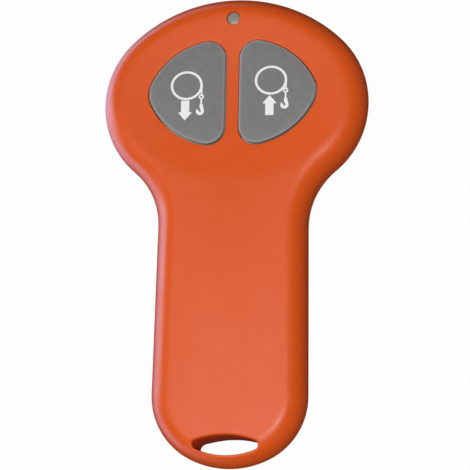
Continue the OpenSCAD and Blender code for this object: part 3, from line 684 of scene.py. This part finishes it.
for share in (0.25, 0.75):
    y = battery_y + battery_l * share - saddle_t / 2
    saddle = block(-battery_r, battery_r, y, y + saddle_t, door_t / 2, saddle_top)
    door = carve(door, saddle, "UNION")
tab_x, tab_half, tab_t, tab_reach = 5, 1.1, 1.2, 2
tab_low, tab_top = 2.15, 3.15
for x in (-tab_x, tab_x):
    for end_y, low_z in ((hinge_y - door_gap, door_t / 2), (hinge_y + tab_reach, tab_low)):
        tab = block(x - tab_half, x + tab_half, hinge_y - tab_t, end_y, low_z, tab_top)
        door = carve(door, tab, "UNION")
bed_gap, bed_half = 0.25, 20
bed = column(round_ring(0, 0, battery_r + bed_gap, 96), 0, -bed_half, bed_half)
door = carve(door, lying(bed, "X", 0, battery_y + battery_l / 2, battery_z))
groove_r, groove_l, groove_pitch = 0.6, 8, 1.8
for k in range(4):
    ends = rounded(groove_r, -groove_l / 2, 4)
    ends[0] = (0.05 - groove_r, ends[0][1])
    finger = solid(round_ring(0, 0, groove_r, 24), ends + [(out, -up) for out, up in ends[::-1]])
    door = carve(door, lying(finger, "Y", 0, hatch_y + groove_pitch * (2 + k), 0))
battery_door = piece(door, "battery_door_moulding", "door", "battery_door")

# %% [markdown]
# ## The keys
# Each key is moulded silicone: a flange that keeps it in, straight sides, a small round edge and a
# slightly crowned top. A pin under it reaches the plunger of the switch. The signs are printed on
# top: a winch drum with its cord and hook, and an arrow for lowering or lifting.

# %% keys
flange_z, key_edge_r, key_crown = 13.2, 0.9, 0.2
crown_shares = [0.1 * k for k in range(1, 9)]
print_t = 0.03
key_top_z = levels("right_button")[1].z - print_t
key_flat_z = key_top_z - key_crown * sin(pi / 2 * crown_shares[-1])
key_steps = [(1, flange_z), (1, flange_z + 1), (0, flange_z + 1)]
key_steps += domed(key_edge_r, key_edge_r, key_flat_z, 8)
key_steps += [(-key_edge_r - (key_corner_r - key_edge_r) * share,
               key_flat_z + key_crown * sin(pi / 2 * share)) for share in crown_shares]
plunger_low, plunger_high = levels("right_plunger")
pin_x, pin_r = (plunger_low.x + plunger_high.x) / 2, 1.75
# A key is loose in its opening. Here both lie a little to the upper left, which shows their gaps.
key_shift = Vector((-0.07, 0.12, 0))
keys = []
for side, hand in (("left", -1), ("right", 1)):
    key = solid(key_ring(hand), key_steps)
    key = carve(key, peg(hand * pin_x, keys_y, pin_r, plunger_high.z, flange_z + 0.5), "UNION")
    shift(key, key_shift)
    keys.append(piece(key, side + "_key_rubber", side + "_key", side + "_button"))

# %% snap domes
# Under each plunger a thin steel cap of a ball clicks flat when its key is pressed.
dome_low, dome_high = levels("right_dome")
dome_t, travel = 0.15, 0.5
dome_h, dome_r = dome_high.z - dome_low.z, (dome_high.x - dome_low.x) / 2
ball_r = crown_r(dome_r, dome_h, 0)
ball_z = dome_high.z - ball_r

def ball_cap(x, r, floor_z):
    """The part of a ball above a height"""
    edge = acos((floor_z - ball_z) / r)
    angles = [edge * (1 - 0.1 * k) for k in range(10)]
    return solid(round_ring(x, keys_y, r * sin(edge), 48),
                 [(r * (sin(a) - sin(edge)), ball_z + r * cos(a)) for a in angles])

domes = []
for side, x in (("left", -pin_x), ("right", pin_x)):
    cap = carve(ball_cap(x, ball_r, dome_low.z), ball_cap(x, ball_r - dome_t, dome_low.z - 0.1))
    domes.append(piece(cap, side + "_snap_dome", "housing", side + "_dome"))
    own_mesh(domes[-1])

# %% [markdown]
# ## The printed signs
# The white signs are pad printed, so they are thin films on the keys. A sign is drawn as a printer
# draws it, with lines of a given width: a short edge across the line is extruded along it, or spun
# round a bend. Each line then gets the thickness of the ink, and the lines are joined.

# %% drawing lines
def start_line(bm, at, width):
    """A short level edge across the start of a line"""
    half = Vector((width / 2, 0))
    ends = [start_at(bm, *(at + reach)) for reach in (-half, half)]
    return bmesh.ops.contextual_create(bm, geom=ends)["edges"][0]

def draw_to(bm, edge, at, width, turn=0):
    """Draws the line on to a place, where it has a new width and its end is turned"""
    made = bmesh.ops.extrude_edge_only(bm, edges=[edge])["geom"]
    end = next(g for g in made if isinstance(g, bmesh.types.BMEdge)
               and all(v in made for v in g.verts))
    half = Vector((width / 2 * cos(turn), width / 2 * sin(turn)))
    same_way = (end.verts[1].co - end.verts[0].co).xy.dot(half) >= 0
    for vert, reach in zip(end.verts, (-half, half) if same_way else (half, -half)):
        vert.co = (at + reach).to_3d()
    return end

def swing(bm, edge, centre, turn, steps):
    """Draws the line round a bend"""
    made = bmesh.ops.spin(bm, geom=[edge], cent=centre.to_3d(), axis=(0, 0, 1), angle=turn,
                          steps=steps, use_merge=abs(turn) > 6.28)
    return next((g for g in made["geom_last"] if isinstance(g, bmesh.types.BMEdge)), None)

def inked(bm, centre):
    """Puts a flat drawing in its place on a key, and gives it the thickness of the ink"""
    shift(bm, (*centre, key_top_z - print_t))
    made = bmesh.ops.extrude_face_region(bm, geom=bm.faces[:])["geom"]
    raised = [g for g in made if isinstance(g, bmesh.types.BMVert)]
    bmesh.ops.translate(bm, verts=raised, vec=(0, 0, 2 * print_t))
    bmesh.ops.recalc_face_normals(bm, faces=bm.faces)
    return bm

# %% the drum, the cord, the hook and the arrow
ring_w, ring_h, line_w = 7.55, 6.95, 0.58
eye_c = Vector((3.45, -2.5))
hook_c, hook_r = Vector((3.2, -5.95)), 0.6
shaft_w, head_w, head_l = 1.95, 3.35, 1.95

def drum():
    bm = bmesh.new()
    edge = start_line(bm, Vector(((ring_w - line_w) / 2, 0)), line_w)
    swing(bm, edge, Vector((0, 0)), 2 * pi, 72)
    resize(bm, (1, ring_h / ring_w, 1))
    return bm

def cord(end):
    bm = bmesh.new()
    edge = start_line(bm, Vector((ring_w / 2 - 0.22, -0.3)), 0.4)
    draw_to(bm, edge, end + Vector((0.05, 0.45)), 0.36)
    return bm

def eye():
    bm = bmesh.new()
    swing(bm, start_line(bm, eye_c + Vector((0.43, 0)), 0.38), eye_c, 2 * pi, 28)
    return bm

def hook():
    bm = bmesh.new()
    edge = start_line(bm, eye_c - Vector((0, 0.5)), 0.4)
    for x, y, width in ((3.45, -4.25, 0.4), (3.47, -4.45, 0.85), (3.55, -5.2, 0.82)):
        edge = draw_to(bm, edge, Vector((x, y)), width)
    bend = radians(15)
    edge = draw_to(bm, edge, hook_c + Vector((cos(bend), sin(bend))) * hook_r, 0.74, bend)
    edge = swing(bm, edge, hook_c, radians(-190), 16)
    draw_to(bm, edge, hook_c + Vector((-hook_r - 0.12, 0.5)), 0.2, radians(-10))
    return bm

def arrow(up):
    """An arrow with a broad shaft; both point from the drum's side, one to it and one away"""
    near, far = Vector((-0.25, -3.6)), Vector((-0.25, -8.35))
    tail, tip = (far, near) if up else (near, far)
    neck = tip + (tail - tip).normalized() * head_l
    bm = bmesh.new()
    edge = draw_to(bm, start_line(bm, tail, shaft_w), neck, shaft_w)
    edge = draw_to(bm, edge, neck.lerp(tip, 0.01), head_w)
    draw_to(bm, edge, tip, 0.02)
    return bm

signs = []
for side, centre, hang in (("left", Vector((-10.6, keys_y + 1.7)), Vector((0.05, -0.25))),
                           ("right", Vector((9.1, keys_y + 2.5)), Vector((0, 0)))):
    sign = inked(drum(), centre)
    hung = centre + hang
    for drawing, at in ((cord(eye_c + hang), centre), (eye(), hung), (hook(), hung),
                        (arrow(side == "right"), centre)):
        sign = carve(sign, inked(drawing, at), "UNION")
    signs.append(piece(sign, side + "_key_sign", side + "_key"))

# %% [markdown]
# ## The indicator and the screws
# The indicator is a standard 3 mm lamp with a low dome and a flange, cast in milky epoxy. The
# screws are self-tapping, with a rounded head, a cross recess and a thread that ends in a point.

# %% indicator
lamp_low, lamp_high = levels("indicator_led")
lens_r, lens_h, flange_t = 1.5, 0.35, 1
lens_steps = [(0.4, lamp_low.z), (0.4, lamp_low.z + flange_t), (0, lamp_low.z + flange_t)]
lens_steps += domed(lens_r, lens_h, lamp_high.z, 12)[:-1]
lens = solid(round_ring(0, led_y, lens_r, 48), lens_steps)
lamp = piece(lens, "indicator_lens", "housing", "indicator_led")

# %% screws
pitch, thread_depth, tip_l, plain_l = 0.75, 0.22, 1.2, 0.3
head_z, head_round = screws_low.z, 0.55
recess_l, recess_w, recess_t = 2.2, 0.5, 0.8
screws = bmesh.new()
for x, y in screw_places:
    head_steps = rounded(head_round, head_z, 5) + [(0, seat_z)]
    screw = solid(round_ring(x, y, screw_head_r, 40), head_steps)
    turns = floor((screws_high.z - tip_l - seat_z) / pitch)
    thread = [(0, seat_z - 0.2), (0, seat_z + plain_l)]
    for k in range(turns):
        z = seat_z + plain_l + pitch * k
        thread += [(-thread_depth, z + 0.25 * pitch), (-thread_depth, z + 0.5 * pitch),
                   (0, z + pitch)]
    thread += [(-screw_r * 0.85, screws_high.z)]
    screw = carve(screw, solid(round_ring(x, y, screw_r, 24), thread), "UNION")
    for long, wide in ((recess_l, recess_w), (recess_w, recess_l)):
        screw = carve(screw, block(x - long / 2, x + long / 2, y - wide / 2, y + wide / 2,
                                   head_z - 1, head_z + recess_t))
    screws = carve(screw, screws, "UNION") if screws.verts else screw
screws = piece(screws, "zinc_case_screws", "housing", "case_screws")

# %% [markdown]
# ## Finishes
# One small function adds a node and sets its inputs, and the others
# name what a node does for the surface: a noise, a fine relief, a second colour, a change of gloss.
# Patterns read the object's own coordinates, in metres, so a noise of size 1 has about one spot per
# millimetre. Where a real pattern is finer than the camera can see, it is drawn a little coarser.

# %% building materials
def linear(code):
    """An sRGB colour code as linear numbers"""
    parts = [int(code[k:k + 2], 16) / 255 for k in (1, 3, 5)]
    return (*[c / 12.92 if c <= 0.04045 else ((c + 0.055) / 1.055) ** 2.4 for c in parts], 1)

def add(material, kind, *values, **settings):
    """Adds a node; values fill its inputs in order, settings its named inputs or properties"""
    node = material.node_tree.nodes.new("ShaderNode" + kind)
    targets = [(node.inputs[k], value) for k, value in enumerate(values)]
    for name, value in settings.items():
        target = node.inputs.get(name.replace("_", " "))
        if target is None:
            setattr(node, name, value)
        else:
            targets.append((target, value))
    for target, value in targets:
        if isinstance(value, bpy.types.NodeSocket):
            material.node_tree.links.new(value, target)
        else:
            target.default_value = value
    return node

def shader_of(material):
    return material.node_tree.nodes["Principled BSDF"]

def finish(name, code, **settings):
    """A material with its colour, and with settings for its shader"""
    material = bpy.data.materials.new(name)
    material.use_nodes = True
    shader = shader_of(material)
    shader.inputs["Base Color"].default_value = linear(code)
    for socket, value in settings.items():
        shader.inputs[socket.replace("_", " ")].default_value = value
    return material

def drive(material, socket, pattern):
    """Lets a pattern set one input of the shader"""
    material.node_tree.links.new(pattern, shader_of(material).inputs[socket])

def noise(material, size, detail=2.0, stretch=(1, 1, 1)):
    """A noise with spots of about this size in millimetres, stretched by these amounts"""
    place = add(material, "TexCoord").outputs["Object"]
    if stretch != (1, 1, 1):
        place = add(material, "Mapping", Vector=place, Scale=[1 / s for s in stretch]).outputs[0]
    spots = add(material, "TexNoise", Vector=place, Scale=1 / (size * mm), Detail=detail)
    return spots.outputs["Fac"]

def along(material, axis):
    """Where a spot lies along an axis, in metres"""
    place = add(material, "TexCoord").outputs["Object"]
    return add(material, "SeparateXYZ", place).outputs[axis]

def patterned(material, pattern):
    """A pattern as it is; a number stands for a noise of that size"""
    return noise(material, pattern) if isinstance(pattern, (int, float)) else pattern

def between(material, pattern, low, high, to_low=0.0, to_high=1.0):
    """Stretches part of a pattern's range over another range, and holds its ends"""
    values = patterned(material, pattern), low, high, to_low, to_high
    return add(material, "MapRange", *values).outputs[0]

def across(material, axis, low, high, *ends):
    """Changes along an axis from one place to another, in millimetres: from 0 to 1 or the ends"""
    return between(material, along(material, axis), low * mm, high * mm, *ends)

def relief(material, height, pattern):
    """Raises the surface by up to this height in millimetres where the pattern is bright"""
    bump = add(material, "Bump", Height=patterned(material, pattern), Distance=height * mm,
               Strength=1.0)
    drive(material, "Normal", bump.outputs[0])

def tint(material, code, share):
    """Lets a pattern from 0 to 1 bring in a second colour"""
    now = shader_of(material).inputs["Base Color"]
    first = now.links[0].from_socket if now.links else now.default_value
    mix = add(material, "MixRGB", patterned(material, share), first, linear(code))
    drive(material, "Base Color", mix.outputs[0])

def rub(material, pattern, low, high):
    """Lets a pattern change how dull the surface is"""
    drive(material, "Roughness", between(material, pattern, 0.3, 0.7, low, high))

def dress(material, slot, *things):
    """Gives a material to pieces and CAD nodes"""
    for thing in things:
        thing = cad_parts[thing] if isinstance(thing, str) else thing
        thing.data.materials.clear()
        thing.data.materials.append(material)

# %% orange ABS
# Injection-moulded ABS. The mould is spark-eroded, which leaves a fine matt grain. The grain breaks
# highlights up into a soft sheen along the rounded edges.
abs_orange = finish("spark_eroded_orange_abs", "#dc5511", IOR=1.53, Specular_IOR_Level=0.35)
relief(abs_orange, 0.03, noise(abs_orange, 0.35, 3))
rub(abs_orange, 6, 0.36, 0.43)
# The pits of the grain hold a little shadow, and the pigment is not quite even.
tint(abs_orange, "#c4440c", between(abs_orange, noise(abs_orange, 0.6, 3), 0.5, 0.75, 0, 0.45))
tint(abs_orange, "#da5312", between(abs_orange, 2.5, 0.35, 0.7))
dress(abs_orange, "orange_abs", front_shell, back_shell, battery_door, "door_latch")

# %% grey silicone, its print and the indicator's epoxy
# The keys are compression-moulded silicone rubber, dyed grey all through and matt to the touch.
silicone = finish("moulded_grey_silicone", "#787979", IOR=1.41, Sheen_Weight=1, Sheen_Roughness=0.4,
                  Subsurface_Weight=0.5, Subsurface_Radius=(1, 1, 1), Subsurface_Scale=0.8 * mm)
relief(silicone, 0.01, noise(silicone, 0.3, 3))
rub(silicone, 4, 0.55, 0.68)
tint(silicone, "#80807f", between(silicone, 1.2, 0.3, 0.7))
# The round edge is painted paler than the top: a painted highlight for light that passes through
# the thin rubber there.
tint(silicone, "#aaacb0", across(silicone, 2, key_flat_z, key_flat_z - 0.45))
# Low on a key's side, in the gap round it, the rubber is painted dark: painted shade for the deep
# gap.
gap_shade_z = face_z - 0.55
tint(silicone, "#1d1816", across(silicone, 2, gap_shade_z, gap_shade_z - 0.2))
dress(silicone, "grey_rubber", *keys)
# The signs are pad-printed: a soft pad presses thick white ink on, so it looks flat and opaque.
ink = finish("white_pad_print", "#f4f5f3", IOR=1.5)
rub(ink, 1, 0.45, 0.6)
tint(ink, "#e6e8e8", 0.5)
dress(ink, "grey_rubber", *signs)
# The lamp's lens is cast in epoxy with a milky filler that spreads its light.
epoxy = finish("milky_epoxy", "#8f8680", IOR=1.54, Subsurface_Weight=0.3, Subsurface_Scale=0.001)
rub(epoxy, 1, 0.25, 0.35)
tint(epoxy, "#99918b", 0.8)
dress(epoxy, "milky_lens", lamp)

# %% black mouldings
# Glass-filled nylon keeps short fibres near its skin, which show as faint lighter streaks.
nylon = finish("glass_filled_black_nylon", "#1b1b1d", IOR=1.53)
relief(nylon, 0.01, noise(nylon, 0.2, 3))
rub(nylon, 1.5, 0.42, 0.58)
tint(nylon, "#343437", between(nylon, noise(nylon, 0.15, 2, (1, 6, 1)), 0.6, 0.8))
dress(nylon, "black_nylon", "left_plunger", "right_plunger", "switch_bodies", "led_spacer")
# The chip and the transistors are moulded in black epoxy, polished matt by its silica filler.
mould_epoxy = finish("silica_filled_black_epoxy", "#232325", IOR=1.55)
relief(mould_epoxy, 0.008, noise(mould_epoxy, 0.12, 3))
rub(mould_epoxy, 1, 0.5, 0.66)
tint(mould_epoxy, "#2e2e30", 0.6)
dress(mould_epoxy, "black_nylon", "encoder_chip", "transistors")

# %% small parts with soldered ends
chip_part_l = 2

def capped_part(name, code, second_code, slot, row):
    """A row of ceramic parts with solder on both ends; one pattern fits every part of the row"""
    material = finish(name, code, IOR=1.6)
    centre_y = levels(row)[1].y - chip_part_l / 2
    from_row = add(material, "Math", along(material, 1), -centre_y * mm, operation="ADD")
    from_middle = add(material, "Math", from_row.outputs[0], chip_part_l * mm, operation="PINGPONG")
    ends = between(material, from_middle.outputs[0],
                   0.3 * chip_part_l * mm, 0.32 * chip_part_l * mm)
    tint(material, second_code, 0.4)
    tint(material, "#c9cac6", ends)
    drive(material, "Metallic", ends)
    rub(material, 0.3, 0.3, 0.5)
    relief(material, 0.02, 0.25)
    dress(material, slot, row)

capped_part("black_glass_on_alumina", "#1f2022", "#2a2b2e", "black_nylon", "resistors")
capped_part("sintered_tan_ceramic", "#a08462", "#8f7454", "tan_ceramic", "capacitors")

# %% circuit board and copper
# The board is woven glass and epoxy under a green lacquer. The weave shows as a fine relief, and
# the copper tracks under the lacquer as lighter lines.
laminate = finish("lacquered_glass_laminate", "#1d5a35", IOR=1.52)
spot = add(laminate, "TexCoord").outputs["Object"]
weave = add(laminate, "TexChecker", spot, Scale=1 / (0.5 * mm))
relief(laminate, 0.01, weave.outputs["Fac"])
lines = add(laminate, "TexBrick", spot, Scale=1 / (4 * mm), Mortar_Size=0.045,
            Mortar_Smooth=0.0, Brick_Width=0.8, Row_Height=0.3, offset=0.3,
            squash=2.3, squash_frequency=3)
patches = between(laminate, 5, 0.48, 0.5)
tracks = add(laminate, "Math", lines.outputs["Fac"], patches, operation="MULTIPLY")
tint(laminate, "#2f7d49", tracks.outputs[0])
rub(laminate, 5, 0.25, 0.36)
dress(laminate, "green_laminate", "circuit_board")
# The antenna is a bare etched copper track, and air has tarnished it in places.
etched = finish("etched_copper_foil", "#c8825a", Metallic=1)
tint(etched, "#8f5a3c", between(etched, 2.5, 0.5, 0.8))
rub(etched, 0.6, 0.3, 0.48)
relief(etched, 0.006, 0.2)
dress(etched, "copper", "antenna_trace")
# The coil's wire wears a clear varnish, which looks like a wet coat over the copper.
varnished = finish("varnished_copper_wire", "#b5603a", Metallic=1, Coat_Weight=1,
                   Coat_Roughness=0.12)
tint(varnished, "#9a4c2c", 0.5)
rub(varnished, 0.4, 0.25, 0.4)
dress(varnished, "copper", "coil")

# %% bright metal parts
def metal(name, code, second_code, dull, size, stretch, slot, *things):
    """A metal part: fine marks along the way it was drawn or rolled, and a change of colour"""
    material = finish(name, code, Metallic=1)
    marks = noise(material, size, 3, stretch)
    rub(material, marks, dull - 0.06, dull + 0.06)
    relief(material, 0.004, marks)
    tint(material, second_code, 3)
    dress(material, slot, *things)

metal("rolled_spring_steel", "#b9bcc0", "#a4a7ab", 0.32, 0.1, (1, 12, 1), "spring_steel",
      *domes, "switch_covers")
metal("tin_plated_legs", "#c8c9c4", "#b4b5ae", 0.38, 0.15, (1, 1, 4), "tinned_legs",
      "switch_legs", "chip_legs_row", "led_leads")
metal("nickel_plated_can", "#c9c5bb", "#b8b3a7", 0.26, 0.2, (1, 1, 3), "nickel_can",
      "resonator_can", "crystal", "battery_button")
metal("nickel_plated_spring_strip", "#c2beb4", "#aaa69b", 0.3, 0.15, (8, 1, 1), "nickel_strip",
      "spring_contact", "plate_contact")
metal("stamped_brass_strip", "#c9a45c", "#ad8845", 0.34, 0.15, (1, 12, 1), "brass_strip",
      "return_strip")
metal("zinc_plated_screw", "#bfc3c8", "#aeb0a8", 0.33, 0.2, (1, 1, 1), "zinc_screw", screws)

# %% sleeves
# The reservoir capacitor is an aluminium can in a black shrunk sleeve. A light stripe marks its
# minus leg, and the bare can shows on top.
low, high = levels("reservoir_capacitor")
sleeve = finish("shrunk_black_sleeve", "#17181b", IOR=1.54)
stripe = across(sleeve, 0, high.x - 0.5, high.x - 0.45)
top = across(sleeve, 2, high.z - 0.1, high.z - 0.05)
tint(sleeve, "#26272b", 1.5)
tint(sleeve, "#c9cbc9", stripe)
tint(sleeve, "#c4c5c6", top)
drive(sleeve, "Metallic", top)
rub(sleeve, 1, 0.28, 0.4)
dress(sleeve, "black_sleeve", "reservoir_capacitor")
# The battery wears a printed plastic film, plain blue-grey here with one copper-coloured band at
# the button's end. The steel can shows at both ends.
low, high = levels("battery_can")
film = finish("printed_battery_film", "#2c3440", IOR=1.5)
band = across(film, 1, high.y - 7, high.y - 6.9)
ends = add(film, "Math", across(film, 1, high.y - 0.5, high.y - 0.45),
           across(film, 1, low.y + 0.5, low.y + 0.45), operation="MAXIMUM").outputs[0]
tint(film, "#353e4c", 4)
tint(film, "#b9763f", band)
tint(film, "#c3c2bd", ends)
bare = add(film, "Math", band, ends, operation="MAXIMUM").outputs[0]
drive(film, "Metallic", bare)
rub(film, 2, 0.24, 0.36)
relief(film, 0.01, noise(film, 1.2, 2, (1, 5, 1)))
dress(film, "battery_sleeve", "battery_can")

# %% [markdown]
# ## The floor and the light
# The photograph has a pure white background. The floor shows a camera mostly its own white and a
# little of the light that falls on it, so that the remote keeps a faint shadow. Glossy surfaces
# see another floor: pale blue and eight times as strong as white on the left, and almost black on
# the right. No real floor does that. It works as a hidden lamp, which makes the pale rim on the
# left and keeps the right side dark. An even white floor for all rays is the plain way to do it.

# %% floor
floor_half, floor_z = 4000, -0.02
white_share, white = 0.93, 1.04
bright_x, dark_x, bright, dark = -80, -30, 8, 0.02

floor_bm = bmesh.new()
bmesh.ops.create_grid(floor_bm, x_segments=1, y_segments=1, size=floor_half)
shift(floor_bm, (0, 0, floor_z))
resize(floor_bm, (mm, mm, mm))
backdrop = as_object(floor_bm, "floor")
paper = bpy.data.materials.new("white_paper")
paper.use_nodes = True
paper.node_tree.nodes.clear()
matt = add(paper, "BsdfDiffuse", Color=linear("#949494")).outputs[0]
glow = add(paper, "Emission", Color=linear("#ffffff"), Strength=white).outputs[0]
path = add(paper, "LightPath").outputs
seen = add(paper, "Math", path["Is Camera Ray"], path["Is Transmission Ray"], operation="MAXIMUM")
share = add(paper, "Math", seen.outputs[0], white_share, operation="MULTIPLY")
both = add(paper, "MixShader", share.outputs[0], matt, glow)
shine = across(paper, 0, bright_x, dark_x, bright, dark)
mirrored = add(paper, "Emission", Color=linear("#a8ccff"), Strength=shine)
both = add(paper, "MixShader", path["Is Glossy Ray"], both.outputs[0], mirrored.outputs[0])
add(paper, "OutputMaterial", Surface=both.outputs[0])
backdrop.data.materials.append(paper)

# %% lights
def soft_light(name, place, size, strength, code):
    """A square soft box of a colour at a place in millimetres that faces the remote"""
    data = bpy.data.lights.new(name, "AREA")
    data.size = size * mm
    data.energy = strength
    data.color = linear(code)[:3]
    at = Vector(place)
    turn = (at - aim).to_track_quat("Z", "Y").to_matrix().to_4x4()
    put_in(name, data).matrix_world = Matrix.Translation(at * mm) @ turn

soft_light("ceiling_window", (-60, -130, 570), 440, 1.82, "#ffffff")
soft_light("low_window", (-560, 90, 110), 160, 1.0, "#e2eaff")
soft_light("lamp", (150, -150, 550), 50, 1.3, "#fffaf4")
world = bpy.data.worlds.new("room")
bpy.context.scene.world = world
world.use_nodes = True
sky = world.node_tree.nodes["Background"].inputs
sky["Color"].default_value = linear("#f6f5f8")
sky["Strength"].default_value = 0.14
bpy.context.scene.view_settings.view_transform = "Standard"
